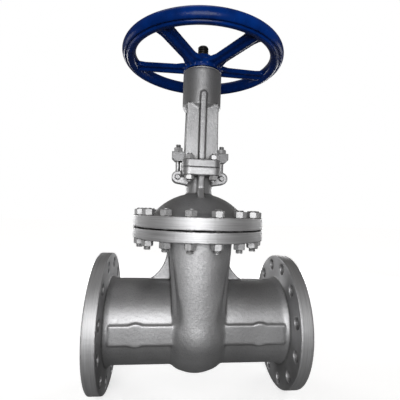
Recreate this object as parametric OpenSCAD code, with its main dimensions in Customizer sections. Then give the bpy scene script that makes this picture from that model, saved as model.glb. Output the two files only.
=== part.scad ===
// Flanged wedge gate valve with a rising stem, a bolted bonnet and a bolted yoke.
// Millimetres. The origin is the centre of the inlet raised face, +X is the flow, +Z the stem.
// Inside the modules, coordinates are about the point where the stem axis crosses the flow axis.

/* [Pipe ends] */
// Bore of the pipe ends
bore_d = 200; // [185:1:210]
// Distance between the two raised faces
face_to_face = 550; // [520:1:650]
// Outer diameter of the end flanges
flange_od = 375; // [360:1:400]
// Thickness of an end flange with its raised face
flange_t = 36; // [28:1:45]
// Diameter of the raised face
raised_face_d = 285; // [255:1:288]
// Height of the raised face
raised_face_h = 3; // [1:0.5:5]
// Distance from the flange rim to the bolt centres
flange_bolt_edge = 27.5; // [24:0.5:30]
// Number of bolt holes in an end flange
flange_holes = 12; // [4:4:16]
// Diameter of the bolt holes in an end flange
flange_hole_d = 30; // [20:1:32]
// Wall of the pipe ends
pipe_wall = 16.5; // [12:0.5:19]
// Length of the cone behind an end flange
hub_run = 16; // [8:1:30]
// Extra radius of that cone at the flange
hub_rise = 6; // [2:0.5:8]

/* [Gate] */
// Slope of each seat face
wedge_angle = 5; // [3:0.5:6]
// Half thickness of the wedge at the flow axis
wedge_half_t = 36; // [32:0.5:42]
// How far the wedge reaches past the bore
wedge_overlap = 11; // [10:0.5:14]
// Radial width of a seat ring
seat_ring_w = 11; // [9:0.5:12]
// Depth of a seat ring's pocket in the side wall
seat_pocket_depth = 14; // [10:0.5:16]
// Gap between a seat face and the closed wedge
seat_gap = 0.3; // [0.2:0.05:0.5]
// How far the wedge rises beyond one bore when open
lift_margin = 12; // [11:0.5:20]

/* [Body] */
// Gap between the wedge's edge and the chamber
chamber_gap = 5; // [4:0.5:8]
// Gap between the wedge's widest edge and the side walls
side_gap = 2.3; // [1.5:0.1:5]
// Wall of the chamber round the wedge
chamber_wall = 16; // [12:0.5:22]
// Side wall of the chamber
side_wall = 19; // [17:0.5:26]
// Height of the crown above the chamber wall
crown_rise = 8; // [4:0.5:12]
// Half width of the crown at the flow axis
crown_half_w = 42; // [34:1:50]
// How much the neck widens towards its flange
neck_flare = 15; // [8:1:18]
// Width of the ribs that guide the wedge
guide_w = 8; // [6:1:12]
// Height of the bonnet joint above the wedge's edge
joint_rise = 154; // [150:1:175]
// Thickness of the web between pipe and neck
gusset_t = 14; // [8:1:24]
// Reach of that web along the pipe, from the chamber's side
gusset_run = 67; // [55:1:75]
// Radius of the web's hollow edge
gusset_arc_r = 100; // [85:1:110]
// Half height of the flat strip along each pipe end
strip_half_h = 25; // [18:1:30]
// How far the strip stands proud of the pipe
strip_rise = 3; // [2:0.5:5]
// Diameter of the round pad on the strip
pad_d = 60; // [54:1:70]
// Place of that pad from the stem axis
pad_x = 158; // [130:1:185]

/* [Bonnet] */
// Outer diameter of the bonnet joint flanges
joint_od = 366; // [360:1:400]
// Thickness of the body's joint flange
body_joint_t = 28; // [24:1:36]
// Thickness of the bonnet's joint flange
bonnet_joint_t = 31; // [26:1:40]
// Distance from the joint flange rim to the stud centres
stud_edge = 18; // [17:0.5:20]
// Number of studs in the joint
stud_count = 16; // [12:4:16]
// Stud diameter
stud_d = 18; // [16:1:20]
// Thickness of the joint gasket
gasket_t = 3; // [2:0.5:4]
// Radial width of the joint gasket
gasket_w = 18; // [12:1:18]
// Outer radius of the dome
dome_r = 164.5; // [160:0.5:170]
// Wall of the dome
dome_wall = 14; // [10:0.5:18]
// Thickness of the dome's top over the stem bush
dome_top_t = 27; // [25:0.5:34]
// Height of the small flare at the dome's foot
dome_foot = 7; // [3:0.5:10]
// Outer diameter of the bonnet neck
neck_d = 75.5; // [70:0.5:80]
// Height of the neck from the dome's top to its flange
neck_h = 45; // [40:1:60]
// Width of the ribs on the neck and on the yoke
rib_w = 16; // [10:1:20]

/* [Packing and gland] */
// Stem diameter
stem_d = 30; // [26:1:32]
// Radial width of the packing
packing_w = 10; // [8:0.5:10]
// Height of one packing ring
packing_h = 10; // [8:0.5:10]
// Thickness of the gland flange
gland_t = 27; // [20:1:30]
// Distance of the eyebolts from the stem axis
eyebolt_x = 62.5; // [62:0.5:68]
// Eyebolt diameter
eyebolt_d = 14; // [12:0.5:15]
// Radius of the ears that hold the eyebolts
ear_r = 17.5; // [15.5:0.1:19]

/* [Yoke] */
// Half width of the yoke flange across the window
yoke_half_x = 52; // [48:1:52]
// Half width of the yoke flange along the arms
yoke_half_y = 71; // [70:1:80]
// Thickness of the bonnet's top flange
bonnet_top_t = 22; // [16:1:28]
// Thickness of the yoke's flange
yoke_flange_t = 20.5; // [16:0.5:28]
// Corner radius of both flanges
yoke_corner_r = 20; // [8:1:24]
// Diameter of the yoke studs
yoke_stud_d = 14; // [12:1:14]
// Height of the window between flange and sleeve
window_h = 138.5; // [130:0.5:220]
// Thickness of an arm
arm_t = 11; // [8:0.5:12]
// Half width of an arm at the sleeve
arm_half_top = 43; // [36:0.5:45]
// Half width of an arm at the flange
arm_half_bottom = 46; // [40:0.5:48]
// Outer diameter of the sleeve
sleeve_d = 108.5; // [106:0.5:120]
// Height of the sleeve
sleeve_h = 112; // [100:0.5:130]
// Height of the cone under the sleeve
sleeve_cone_h = 16.5; // [8:0.5:20]

/* [Stem nut] */
// Ball diameter of the thrust bearings
ball_d = 7; // [6:0.5:8]
// Number of balls in a bearing
ball_count = 14; // [8:1:16]
// Thickness of a bearing washer
washer_t = 3; // [2.5:0.5:4]
// Thickness of the stem nut's collar
collar_t = 14; // [10:1:16]
// Wall of the stem nut
nut_wall = 9; // [7:0.5:10]

/* [Handwheel] */
// Outer diameter of the handwheel
wheel_od = 450; // [360:1:560]
// Thickness of the rim
rim_d = 37; // [26:1:44]
// Height of the rim's middle above the hub's bottom
wheel_rise = 36.5; // [30:0.5:70]
// Number of spokes
spoke_count = 5; // [3:1:6]
// Width of a spoke
spoke_w = 40; // [26:1:44]
// Thickness of a spoke's flat
spoke_t = 13; // [8:0.5:14]
// Width of the ridge under a spoke
ridge_w = 12; // [8:0.5:16]
// Depth of the ridge under a spoke
ridge_h = 7; // [4:0.5:7]
// Hub diameter
hub_d = 108; // [90:1:120]
// Hub height
hub_h = 31; // [28:1:40]
// Height of the stem above the lock nut when closed
stem_show = 31; // [20:1:80]

/* [Hidden] */
$fn = 96;

cast_grey = [0.56, 0.57, 0.59];
bolt_grey = [0.66, 0.67, 0.68];
wheel_blue = [0.03, 0.10, 0.36];
steel = [0.62, 0.62, 0.63];
dark_steel = [0.16, 0.16, 0.17];
bronze = [0.66, 0.50, 0.26];
graphite = [0.20, 0.20, 0.21];

// Clearances: a running fit, an easy slip fit, a free gap, and an overlap for clean cuts
run_fit = 0.05;
slip = 0.4;
free_gap = 0.3;
over = 1;

// Pipe ends
bore_r = bore_d / 2;
pipe_r = bore_r + pipe_wall;
half_length = face_to_face / 2;
flange_back = half_length - flange_t;
flange_pcr = flange_od / 2 - flange_bolt_edge;

// Gate and chamber
wedge_r = bore_r + wedge_overlap;
wedge_slope = tan(wedge_angle);
wedge_top_half = wedge_half_t + wedge_r * wedge_slope;
lift = bore_d + lift_margin;
chamber_r = wedge_r + chamber_gap;
chamber_half_w = wedge_top_half + side_gap;
flank_r = chamber_r + chamber_wall;
web_bite = 20;
flank_half_w = chamber_half_w + side_wall;
crown_r = flank_r + crown_rise;
flank_edge_r = 28;
barrel_r = 110;
neck_low = -30;
seat_bore_r = bore_r + 1;
seat_back = chamber_half_w + seat_pocket_depth;
guide_reach = 12;
guide_x = 7;
guide_low = -30;

// Stem head, held in a T slot at the wedge's top
head_half = 19;
head_h = 16;
head_neck_r = 12;
slot_lip = 10;
lug_half_x = 30;
lug_half_y = 34;
lug_top = wedge_r + 3;
head_top = lug_top - slot_lip;
head_bottom = head_top - head_h;
collar_gap = 3;
collar_h = 4;
collar_r = 24;
collar_top = lug_top + collar_gap + collar_h;
stem_r = stem_d / 2;

// Bonnet joint, from the body's flange to the top of the bonnet's flange
joint_low = wedge_r + joint_rise;
joint_high = joint_low + gasket_t;
body_joint_bottom = joint_low - body_joint_t;
bonnet_joint_top = joint_high + bonnet_joint_t;
stud_pcr = joint_od / 2 - stud_edge;
stud_hole_r = stud_d / 2 + 0.75;
stud_nut_af = stud_d * 1.5;
stud_nut_h = stud_d * 0.9;
stud_show_top = 3;
stud_show_bottom = 9;
stud_clear = 1;
cavity_r = norm([chamber_half_w, chamber_r]);
gasket_lip = 2;
gasket_limit = stud_pcr - stud_d / 2 - stud_clear;
gasket_in = min(cavity_r + gasket_lip, gasket_limit - gasket_w);
gasket_out = gasket_in + gasket_w;
inside_nuts_r = stud_pcr - stud_nut_af / sqrt(3) - stud_clear;
neck_crown_r = min(crown_r - 2, inside_nuts_r);
neck_flank_r = min(flank_r - 3, neck_crown_r - 2);

// Dome, bush and stuffing box
backseat = collar_top + lift + 1;
bush_flange_h = 4;
bush_flange_w = 18;
bush_wall = 13;
bush_flange_r = stem_r + bush_flange_w;
bush_r = stem_r + bush_wall;
bush_h = 20;
cavity_top = backseat + bush_flange_h;
dome_apex = cavity_top + dome_top_t;
dome_z = dome_apex - dome_r;
dome_inner_r = dome_r - dome_wall;
dome_foot_r = sqrt(pow(dome_r, 2) - pow(bonnet_joint_top - dome_z, 2));
box_r = stem_r + packing_w;
box_floor = dome_apex + 2;
packing_low = box_floor + 1.5;
packing_count = 5;
packing_top = packing_low + packing_count * packing_h;
bonnet_top_low = dome_apex + neck_h;
bonnet_top = bonnet_top_low + bonnet_top_t;

// Eyebolts in their ears
eye_half_t = eyebolt_d / 2 + 1;
eye_r = eyebolt_d;
eye_pin_r = 6;
ear_drop = 2;
ear_z = bonnet_top_low - ear_drop;
ear_slot_half = eye_half_t + 0.6;
ear_half_y = ear_slot_half + 10.5;
ear_inner_x = eyebolt_x - eye_r - 1.5;

// Yoke, from its flange up to the top of its sleeve
yoke_top = bonnet_top + yoke_flange_t;
yoke_stud_af = yoke_stud_d * 1.57;
yoke_stud_edge_x = 19.5;
yoke_stud_edge_y = 13;
yoke_stud_x = yoke_half_x - yoke_stud_edge_x;
yoke_stud_y = yoke_half_y - yoke_stud_edge_y;
yoke_nut_h = yoke_stud_d * 0.85;
yoke_stud_show = 5;
arm_front = yoke_stud_y - yoke_stud_af / 2 - 2;
arm_back = arm_front - arm_t;
sleeve_r = sleeve_d / 2;
sleeve_low = yoke_top + window_h;
sleeve_top = sleeve_low + sleeve_h;
rib_proud = 5.5;
rib_rise = 48;
rib_front = max(sleeve_r, arm_front) + rib_proud;
rib_top = sleeve_low + rib_rise;

// Gland, clear of the yoke's flange, and the eyebolt nuts on its lugs
gland_gap = 0.5;
gland_low = yoke_top + gland_gap;
gland_top = gland_low + gland_t;
gland_arm_gap = 4;
gland_lug_side = 9;
gland_half_y = arm_back - gland_arm_gap;
gland_lug_half_y = eyebolt_d / 2 + gland_lug_side;
gland_slot_half = eyebolt_d / 2 + 1;
gland_lug_run = 18;
gland_end = eyebolt_x + gland_lug_run;
gland_bevel = 9;
follower_top = gland_low + gland_t / 2;
follower_r = box_r - 0.25;
gland_nut_af = eyebolt_d * 1.72;
gland_nut_h = 12;
gland_nut_low = gland_top + 0.1;
eyebolt_top = gland_top + gland_nut_h + 9;

// Stem nut on its two thrust bearings, held down by the cap
nut_spigot_r = stem_r + nut_wall;
nut_shoulder_r = nut_spigot_r + 2;
bearing_h = 2 * washer_t + ball_d + 0.2;
sleeve_wall = 11.25;
bearing_r = sleeve_r - sleeve_wall;
washer_bore_r = nut_shoulder_r + 0.5;
ball_pcr = (bearing_r + washer_bore_r) / 2;
cap_lip_h = 3;
cap_thread_h = 24;
upper_bearing_top = sleeve_top - cap_thread_h;
collar_low = upper_bearing_top - bearing_h - collar_t;
lower_bearing_low = collar_low - bearing_h;
nut_collar_r = bearing_r - 2;
cap_top = sleeve_top + cap_lip_h;
nut_low = sleeve_low + 6;

// Handwheel, keyed on the stem nut and held by the lock nut
hub_low = cap_top + 2;
hub_top = hub_low + hub_h;
rim_r = rim_d / 2;
rim_pcr = wheel_od / 2 - rim_r;
rim_z = hub_low + wheel_rise;
spoke_hub_z = hub_low + hub_h * 0.45;
hub_bore_r = nut_spigot_r + run_fit;
key_w = 8;
key_h = 6;
key_sunk = 3;
lock_h = 12;
lock_wall = 7;
hub_boss_wall = 12;
hub_plate_h = hub_h * 0.7;
spoke_flare = 7;
spoke_flare_run = 20;
lock_r = nut_spigot_r + lock_wall;
hub_boss_r = nut_spigot_r + hub_boss_wall;
lock_gap = 0.2;
nut_top = hub_top + lock_gap + lock_h;
stem_top = nut_top + stem_show;

// Helpers

module place() {
    translate([half_length, 0, 0]) children();
}

// Turns what is drawn along Z so that it lies along X
module along_x() {
    rotate([0, 90, 0]) children();
}

module ring(outer, inner, h) {
    difference() {
        cylinder(r = outer, h = h);
        translate([0, 0, -over]) cylinder(r = inner, h = h + 2 * over);
    }
}

// Rectangle with exact round corners, given by half sizes
module rounded_rect(hx, hy, r) {
    square([2 * (hx - r), 2 * hy], center = true);
    square([2 * hx, 2 * (hy - r)], center = true);
    for (sx = [-1, 1], sy = [-1, 1])
        translate([sx * (hx - r), sy * (hy - r)]) circle(r = r);
}

// Plate drawn in X and Z, with its thickness shared equally about y
module upright(t) {
    rotate([90, 0, 0]) linear_extrude(height = t, center = true) children();
}

module hex_nut(af, h, hole_r) {
    difference() {
        cylinder(r = af / 2 / cos(30), h = h, $fn = 6);
        translate([0, 0, -over]) cylinder(r = hole_r, h = h + 2 * over);
    }
}

// Copies on a circle, none of them on the centre lines
module on_circle(count, r) {
    for (i = [0 : count - 1])
        rotate([0, 0, (i + 0.5) * 360 / count]) translate([r, 0, 0]) children();
}

module at_yoke_studs() {
    for (sx = [-1, 1], sy = [-1, 1])
        translate([sx * yoke_stud_x, sy * yoke_stud_y, 0]) children();
}

// Body

module pipe_ends() {
    along_x() cylinder(r = pipe_r, h = 2 * flange_back + over, center = true);
    for (s = [0, 1]) mirror([s, 0, 0]) {
        translate([flange_back, 0, 0]) along_x()
            cylinder(r = flange_od / 2, h = flange_t - raised_face_h);
        translate([flange_back, 0, 0]) along_x() cylinder(r = raised_face_d / 2, h = flange_t);
        translate([flange_back - hub_run, 0, 0]) along_x()
            cylinder(r1 = pipe_r - 0.5, r2 = pipe_r + hub_rise, h = hub_run + over);
    }
}

// Round housing about the flow axis, with a narrower crown on it
module housing_ring(half_w, r, corner) {
    along_x() rotate_extrude() intersection() {
        rotate(90) rounded_rect(half_w, r, corner);
        translate([0, -half_w]) square([r, 2 * half_w]);
    }
}

// Bulged belly of the housing, down to the pipe ends on both sides
module barrel() {
    along_x() rotate_extrude() intersection() {
        translate([crown_r - barrel_r, 0]) circle(r = barrel_r);
        translate([0, -flank_half_w]) square([crown_r, 2 * flank_half_w]);
    }
}

// Round-fronted neck whose half width grows from low to mid and then to top
module neck_shell(front_r, low, mid, top) {
    mid_z = chamber_r / 2;
    intersection() {
        translate([0, 0, neck_low]) cylinder(r = front_r, h = body_joint_bottom - neck_low + over);
        upright(4 * front_r) polygon([
            [-low, neck_low],
            [low, neck_low],
            [mid, mid_z],
            [top, body_joint_bottom + over],
            [-top, body_joint_bottom + over],
            [-mid, mid_z]
        ]);
    }
}

module neck() {
    top_half = flank_half_w + neck_flare;
    crown_mid_half = (crown_half_w + flank_half_w) / 2 - 4;
    neck_shell(neck_flank_r, flank_half_w - 2, flank_half_w + 1, top_half);
    neck_shell(neck_crown_r, crown_half_w - 8, crown_mid_half, top_half - 5);
}

// Webs that stiffen the neck on the pipe ends, with a hollow edge that ends upright
module gussets() {
    web_in = flank_half_w - web_bite;
    web_low = pipe_r - 6;
    upright_x = flank_half_w + neck_flare + 4;
    arc_x = upright_x + gusset_arc_r;
    arc_z = pipe_r + sqrt(pow(gusset_arc_r, 2) - pow(arc_x - flank_half_w - gusset_run, 2));
    for (s = [0, 1]) mirror([s, 0, 0]) upright(gusset_t) difference() {
        translate([web_in, web_low])
            square([flank_half_w + gusset_run - web_in, body_joint_bottom - web_low + over]);
        translate([arc_x, arc_z]) circle(r = gusset_arc_r);
        translate([upright_x, arc_z]) square([2 * gusset_run, body_joint_bottom]);
    }
}

// Flat strips with a round pad, along the pipe ends on both faces
module strips() {
    strip_y = pipe_r + strip_rise;
    for (s = [0, 1]) mirror([s, 0, 0]) upright(2 * strip_y) {
        translate([0, -strip_half_h]) square([flange_back - hub_run + 2, 2 * strip_half_h]);
        translate([pad_x, 0]) circle(d = pad_d);
    }
}

module gate_space() {
    along_x() cylinder(r = chamber_r, h = 2 * chamber_half_w, center = true);
    translate([-chamber_half_w, -chamber_r, 0])
        cube([2 * chamber_half_w, 2 * chamber_r, joint_low + over]);
}

// Pair of ribs on each face of the chamber, with the wedge's tongue between them
module guide_ribs() {
    for (s = [0, 1]) mirror([0, s, 0]) for (t = [0, 1]) mirror([t, 0, 0])
        translate([guide_x, chamber_r - guide_reach, guide_low])
            cube([guide_w, guide_reach + 3, joint_low - guide_low - 4]);
}

module body() {
    color(cast_grey) place() {
        difference() {
            union() {
                pipe_ends();
                housing_ring(flank_half_w, flank_r, flank_edge_r);
                barrel();
                neck();
                gussets();
                strips();
                translate([0, 0, body_joint_bottom]) cylinder(r = joint_od / 2, h = body_joint_t);
            }
            along_x() cylinder(r = bore_r, h = face_to_face + 2 * over, center = true);
            gate_space();
            along_x() cylinder(r = bore_r + seat_ring_w + 2, h = 2 * seat_back, center = true);
            for (s = [0, 1]) mirror([s, 0, 0]) translate([flange_back - over, 0, 0]) along_x()
                on_circle(flange_holes, flange_pcr)
                    cylinder(d = flange_hole_d, h = flange_t + 2 * over);
            translate([0, 0, body_joint_bottom - over]) on_circle(stud_count, stud_pcr)
                cylinder(r = stud_hole_r, h = body_joint_t + 2 * over);
        }
        guide_ribs();
    }
}

// Ring with one sloped face that the wedge closes on
module seat_ring(side) {
    color(steel) place() mirror([side, 0, 0]) difference() {
        along_x() ring(bore_r + seat_ring_w + 2 - run_fit, seat_bore_r, seat_back - run_fit);
        translate([wedge_half_t + seat_gap, 0, 0]) rotate([0, wedge_angle, 0])
            translate([-face_to_face, -half_length, -half_length])
                cube([face_to_face, face_to_face, face_to_face]);
    }
}

// Wedge and stem

module wedge() {
    color(steel) place() difference() {
        union() {
            intersection() {
                along_x() cylinder(r = wedge_r, h = face_to_face, center = true);
                upright(face_to_face) polygon([
                    [-wedge_half_t + wedge_r * wedge_slope, -wedge_r],
                    [wedge_half_t - wedge_r * wedge_slope, -wedge_r],
                    [wedge_top_half, wedge_r],
                    [-wedge_top_half, wedge_r]
                ]);
            }
            translate([-lug_half_x, -lug_half_y, bore_r * 0.7])
                cube([2 * lug_half_x, 2 * lug_half_y, lug_top - bore_r * 0.7]);
        }
        translate([-head_half - slip, -wedge_r, head_bottom - slip])
            cube([2 * (head_half + slip), 2 * wedge_r, head_h + 2 * slip]);
        translate([-head_neck_r - slip, -wedge_r, head_top])
            cube([2 * (head_neck_r + slip), 2 * wedge_r, slot_lip + over]);
        for (s = [0, 1]) mirror([0, s, 0])
            for (t = [0, 1]) mirror([t, 0, 0])
                translate([guide_x - slip, chamber_r - guide_reach - slip, -wedge_r])
                    cube([guide_w + 2 * slip, guide_reach, 2 * wedge_r]);
    }
}

module stem() {
    tip = 2;
    color(dark_steel) place() {
        translate([-head_half, -head_half, head_bottom]) cube([2 * head_half, 2 * head_half, head_h]);
        translate([0, 0, head_top - over]) cylinder(r = head_neck_r, h = slot_lip + collar_gap + 2 * over);
        translate([0, 0, collar_top - collar_h]) cylinder(r = collar_r, h = collar_h);
        translate([0, 0, collar_top - over]) cylinder(r = stem_r, h = stem_top - collar_top + over - tip);
        translate([0, 0, stem_top - tip]) cylinder(r1 = stem_r, r2 = stem_r - tip, h = tip);
    }
}

// Bonnet and its joint

module bonnet_gasket() {
    color(graphite) place() translate([0, 0, joint_low]) ring(gasket_out, gasket_in, gasket_t);
}

// The space above the joint that takes the raised wedge
module dome_cavity() {
    translate([0, 0, joint_high - over]) intersection() {
        cylinder(r = cavity_r, h = cavity_top - joint_high + over);
        translate([0, 0, dome_z - joint_high + over]) sphere(r = dome_inner_r);
    }
}

module dome() {
    intersection() {
        translate([0, 0, dome_z]) sphere(r = dome_r);
        translate([0, 0, joint_high]) cylinder(r = dome_r, h = dome_apex - joint_high);
    }
    translate([0, 0, bonnet_joint_top - over])
        cylinder(r1 = dome_foot_r + dome_foot, r2 = dome_foot_r - 3, h = dome_foot + over);
}

// Ribs on the neck, from the dome to the overhang of the top flange
module neck_ribs() {
    foot_r = neck_d;
    foot_z = dome_z + sqrt(pow(dome_r, 2) - pow(foot_r, 2)) - 3;
    for (s = [0, 1]) mirror([0, s, 0])
        rotate([90, 0, 90]) linear_extrude(height = rib_w, center = true) polygon([
            [neck_d / 2 - 5, foot_z],
            [foot_r, foot_z],
            [yoke_stud_y - 2, foot_z + neck_h * 0.75],
            [yoke_half_y - 5, bonnet_top_low + over],
            [neck_d / 2 - 5, bonnet_top_low + over]
        ]);
}

module ears() {
    for (s = [0, 1]) mirror([s, 0, 0]) upright(2 * ear_half_y) {
        translate([eyebolt_x, ear_z]) circle(r = ear_r);
        polygon([
            [neck_d / 2 - 4, ear_z - ear_r - 5],
            [eyebolt_x, ear_z - ear_r],
            [eyebolt_x, ear_z + ear_r],
            [neck_d / 2 - 4, ear_z + ear_r]
        ]);
    }
}

module bonnet() {
    color(cast_grey) place() difference() {
        union() {
            translate([0, 0, joint_high]) cylinder(r = joint_od / 2, h = bonnet_joint_t);
            dome();
            translate([0, 0, cavity_top]) cylinder(d = neck_d, h = bonnet_top - cavity_top);
            translate([0, 0, bonnet_top_low]) linear_extrude(height = bonnet_top_t)
                rounded_rect(yoke_half_x, yoke_half_y, yoke_corner_r);
            neck_ribs();
            ears();
        }
        dome_cavity();
        translate([0, 0, cavity_top - over]) cylinder(r = bush_r + run_fit, h = bush_h + over);
        cylinder(r = stem_r + free_gap, h = bonnet_top);
        translate([0, 0, box_floor]) cylinder(r = box_r, h = bonnet_top);
        translate([0, 0, joint_high - over]) on_circle(stud_count, stud_pcr)
            cylinder(r = stud_hole_r, h = bonnet_joint_t + 2 * over);
        at_yoke_studs() translate([0, 0, bonnet_top_low - over])
            cylinder(d = yoke_stud_d + 1, h = bonnet_top_t + 2 * over);
        for (s = [0, 1]) mirror([s, 0, 0]) {
            translate([ear_inner_x, -ear_slot_half, ear_z - 2.4 * ear_r])
                cube([3 * ear_r, 2 * ear_slot_half, bonnet_top - ear_z + 2.4 * ear_r + over]);
            translate([eyebolt_x, 0, ear_z]) rotate([90, 0, 0])
                cylinder(r = eye_pin_r + run_fit, h = 2 * ear_half_y + 2 * over, center = true);
        }
    }
}

module bonnet_studs() {
    stud_low = body_joint_bottom - stud_nut_h - stud_show_bottom;
    stud_high = bonnet_joint_top + stud_nut_h + stud_show_top;
    color(bolt_grey) place() on_circle(stud_count, stud_pcr) {
        translate([0, 0, stud_low + 1]) cylinder(d = stud_d, h = stud_high - stud_low - 2);
        translate([0, 0, stud_high - 1]) cylinder(d1 = stud_d, d2 = stud_d - 2, h = 1);
        translate([0, 0, stud_low]) cylinder(d1 = stud_d - 2, d2 = stud_d, h = 1);
    }
}

module bonnet_nuts(z) {
    color(bolt_grey) place() on_circle(stud_count, stud_pcr)
        translate([0, 0, z]) rotate([0, 0, 30]) hex_nut(stud_nut_af, stud_nut_h, stud_d / 2 + run_fit);
}

module backseat_bush() {
    color(steel) place() translate([0, 0, backseat]) difference() {
        union() {
            cylinder(r = bush_flange_r, h = bush_flange_h);
            cylinder(r = bush_r, h = bush_flange_h + bush_h - 0.5);
        }
        translate([0, 0, -over]) cylinder(r = stem_r + 2 * run_fit, h = bush_h + bush_flange_h + 2 * over);
    }
}

// Packing, gland and eyebolts

module packing_ring(i) {
    color(graphite) place() translate([0, 0, packing_low + i * packing_h])
        ring(box_r - run_fit, stem_r + run_fit, packing_h);
}

module gland_follower() {
    color(steel) place() translate([0, 0, packing_top])
        ring(follower_r, stem_r + free_gap, follower_top - packing_top);
}

// Plate with two slotted lugs, which bridges the follower
module gland_flange() {
    color(cast_grey) place() difference() {
        union() {
            translate([0, 0, gland_low]) cylinder(r = gland_half_y, h = gland_t);
            upright(2 * gland_lug_half_y) polygon([
                [-gland_end, gland_top],
                [-gland_end, gland_low + gland_bevel],
                [-gland_end + gland_bevel, gland_low],
                [gland_end - gland_bevel, gland_low],
                [gland_end, gland_low + gland_bevel],
                [gland_end, gland_top]
            ]);
        }
        translate([0, 0, gland_low - over]) cylinder(r = stem_r + 2, h = gland_t + 2 * over);
        translate([0, 0, gland_low - over]) cylinder(r = follower_r + free_gap, h = follower_top - gland_low + over);
        for (s = [0, 1]) mirror([s, 0, 0]) translate([eyebolt_x, 0, gland_low - over]) {
            cylinder(r = gland_slot_half, h = gland_t + 2 * over);
            translate([0, -gland_slot_half, 0])
                cube([gland_end, 2 * gland_slot_half, gland_t + 2 * over]);
        }
    }
}

module eyebolt(side) {
    tip = 2;
    color(bolt_grey) place() translate([side * eyebolt_x, 0, 0]) difference() {
        union() {
            translate([0, 0, ear_z]) rotate([90, 0, 0])
                cylinder(r = eye_r, h = 2 * eye_half_t, center = true);
            translate([0, 0, ear_z]) cylinder(d = eyebolt_d, h = eyebolt_top - ear_z - tip);
            translate([0, 0, eyebolt_top - tip])
                cylinder(d1 = eyebolt_d, d2 = eyebolt_d - 2 * tip, h = tip);
        }
        translate([0, 0, ear_z]) rotate([90, 0, 0])
            cylinder(r = eye_pin_r + 2 * run_fit, h = 2 * eye_half_t + 2 * over, center = true);
    }
}

module eyebolt_pin(side) {
    color(bolt_grey) place() translate([side * eyebolt_x, 0, ear_z]) rotate([90, 0, 0])
        cylinder(r = eye_pin_r, h = 2 * ear_half_y + 3, center = true);
}

module gland_nut(side) {
    color(bolt_grey) place() translate([side * eyebolt_x, 0, gland_nut_low]) rotate([0, 0, 30])
        hex_nut(gland_nut_af, gland_nut_h, eyebolt_d / 2 + run_fit);
}

// Yoke

module yoke_arms() {
    for (s = [0, 1]) mirror([0, s, 0]) {
        translate([0, -(arm_front + arm_back) / 2, 0]) upright(arm_t) polygon([
            [-arm_half_bottom, bonnet_top + over],
            [arm_half_bottom, bonnet_top + over],
            [arm_half_top, sleeve_low + sleeve_cone_h + 2],
            [-arm_half_top, sleeve_low + sleeve_cone_h + 2]
        ]);
        translate([0, -(rib_front + arm_back) / 2, 0]) upright(rib_front - arm_back) {
            translate([-rib_w / 2, bonnet_top + over])
                square([rib_w, rib_top - rib_w / 2 - bonnet_top - over]);
            translate([0, rib_top - rib_w / 2]) circle(d = rib_w);
        }
    }
}

module yoke() {
    cone_r = max(sleeve_r - 11, nut_spigot_r + 8);
    color(cast_grey) place() difference() {
        union() {
            translate([0, 0, bonnet_top]) linear_extrude(height = yoke_flange_t)
                rounded_rect(yoke_half_x, yoke_half_y, yoke_corner_r);
            yoke_arms();
            translate([0, 0, sleeve_low]) cylinder(r1 = cone_r, r2 = sleeve_r, h = sleeve_cone_h);
            translate([0, 0, sleeve_low + sleeve_cone_h]) cylinder(r = sleeve_r, h = sleeve_h - sleeve_cone_h);
        }
        translate([0, 0, bonnet_top - over]) cylinder(r = box_r + 2, h = yoke_flange_t + 2 * over);
        translate([0, 0, sleeve_low - over]) cylinder(r = nut_spigot_r + free_gap, h = sleeve_h + 2 * over);
        translate([0, 0, lower_bearing_low]) cylinder(r = bearing_r, h = sleeve_h);
        at_yoke_studs() translate([0, 0, bonnet_top - over])
            cylinder(d = yoke_stud_d + 1, h = yoke_flange_t + 2 * over);
    }
}

module yoke_studs() {
    stud_low = bonnet_top_low - yoke_nut_h - yoke_stud_show;
    stud_high = yoke_top + yoke_nut_h + yoke_stud_show;
    color(bolt_grey) place() at_yoke_studs() {
        translate([0, 0, stud_low + 1]) cylinder(d = yoke_stud_d, h = stud_high - stud_low - 2);
        translate([0, 0, stud_high - 1]) cylinder(d1 = yoke_stud_d, d2 = yoke_stud_d - 2, h = 1);
        translate([0, 0, stud_low]) cylinder(d1 = yoke_stud_d - 2, d2 = yoke_stud_d, h = 1);
    }
}

module yoke_nuts(z) {
    color(bolt_grey) place() at_yoke_studs() translate([0, 0, z])
        rotate([0, 0, 30]) hex_nut(yoke_stud_af, yoke_nut_h, yoke_stud_d / 2 + run_fit);
}

// Ring screwed into the sleeve, with a lip over its top edge
module bearing_cap() {
    color(cast_grey) place() difference() {
        union() {
            translate([0, 0, upper_bearing_top]) cylinder(r = bearing_r - run_fit, h = cap_thread_h + over);
            translate([0, 0, sleeve_top]) cylinder(r = sleeve_r - 1.5, h = cap_lip_h);
        }
        translate([0, 0, upper_bearing_top - over])
            cylinder(r = nut_shoulder_r + free_gap, h = cap_thread_h + cap_lip_h + 2 * over);
    }
}

// Thrust bearings: a fixed washer, caged balls, and a race that turns with the stem nut

module bearing_washer(z) {
    color(steel) place() translate([0, 0, z]) ring(bearing_r - run_fit, washer_bore_r, washer_t);
}

module bearing_race(z, seat_r) {
    color(steel) place() translate([0, 0, z]) ring(bearing_r - 1, seat_r + run_fit, washer_t);
}

module bearing_cage(z) {
    cage_t = ball_d * 0.3;
    color(bronze) place() translate([0, 0, z - cage_t / 2]) difference() {
        ring(ball_pcr + ball_d / 2 + 1.5, ball_pcr - ball_d / 2 - 1.5, cage_t);
        on_circle(ball_count, ball_pcr) translate([0, 0, -over])
            cylinder(d = ball_d + 4 * run_fit, h = cage_t + 2 * over);
    }
}

module bearing_balls(z) {
    color(steel) place() translate([0, 0, z]) on_circle(ball_count, ball_pcr) sphere(d = ball_d);
}

// Stem nut and handwheel

module key_slot(extra) {
    translate([-key_w / 2 - extra, nut_spigot_r - key_sunk - extra, hub_low + 2 - extra])
        cube([key_w + 2 * extra, key_h + 2 * extra, hub_h - 4 + 2 * extra]);
}

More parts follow.
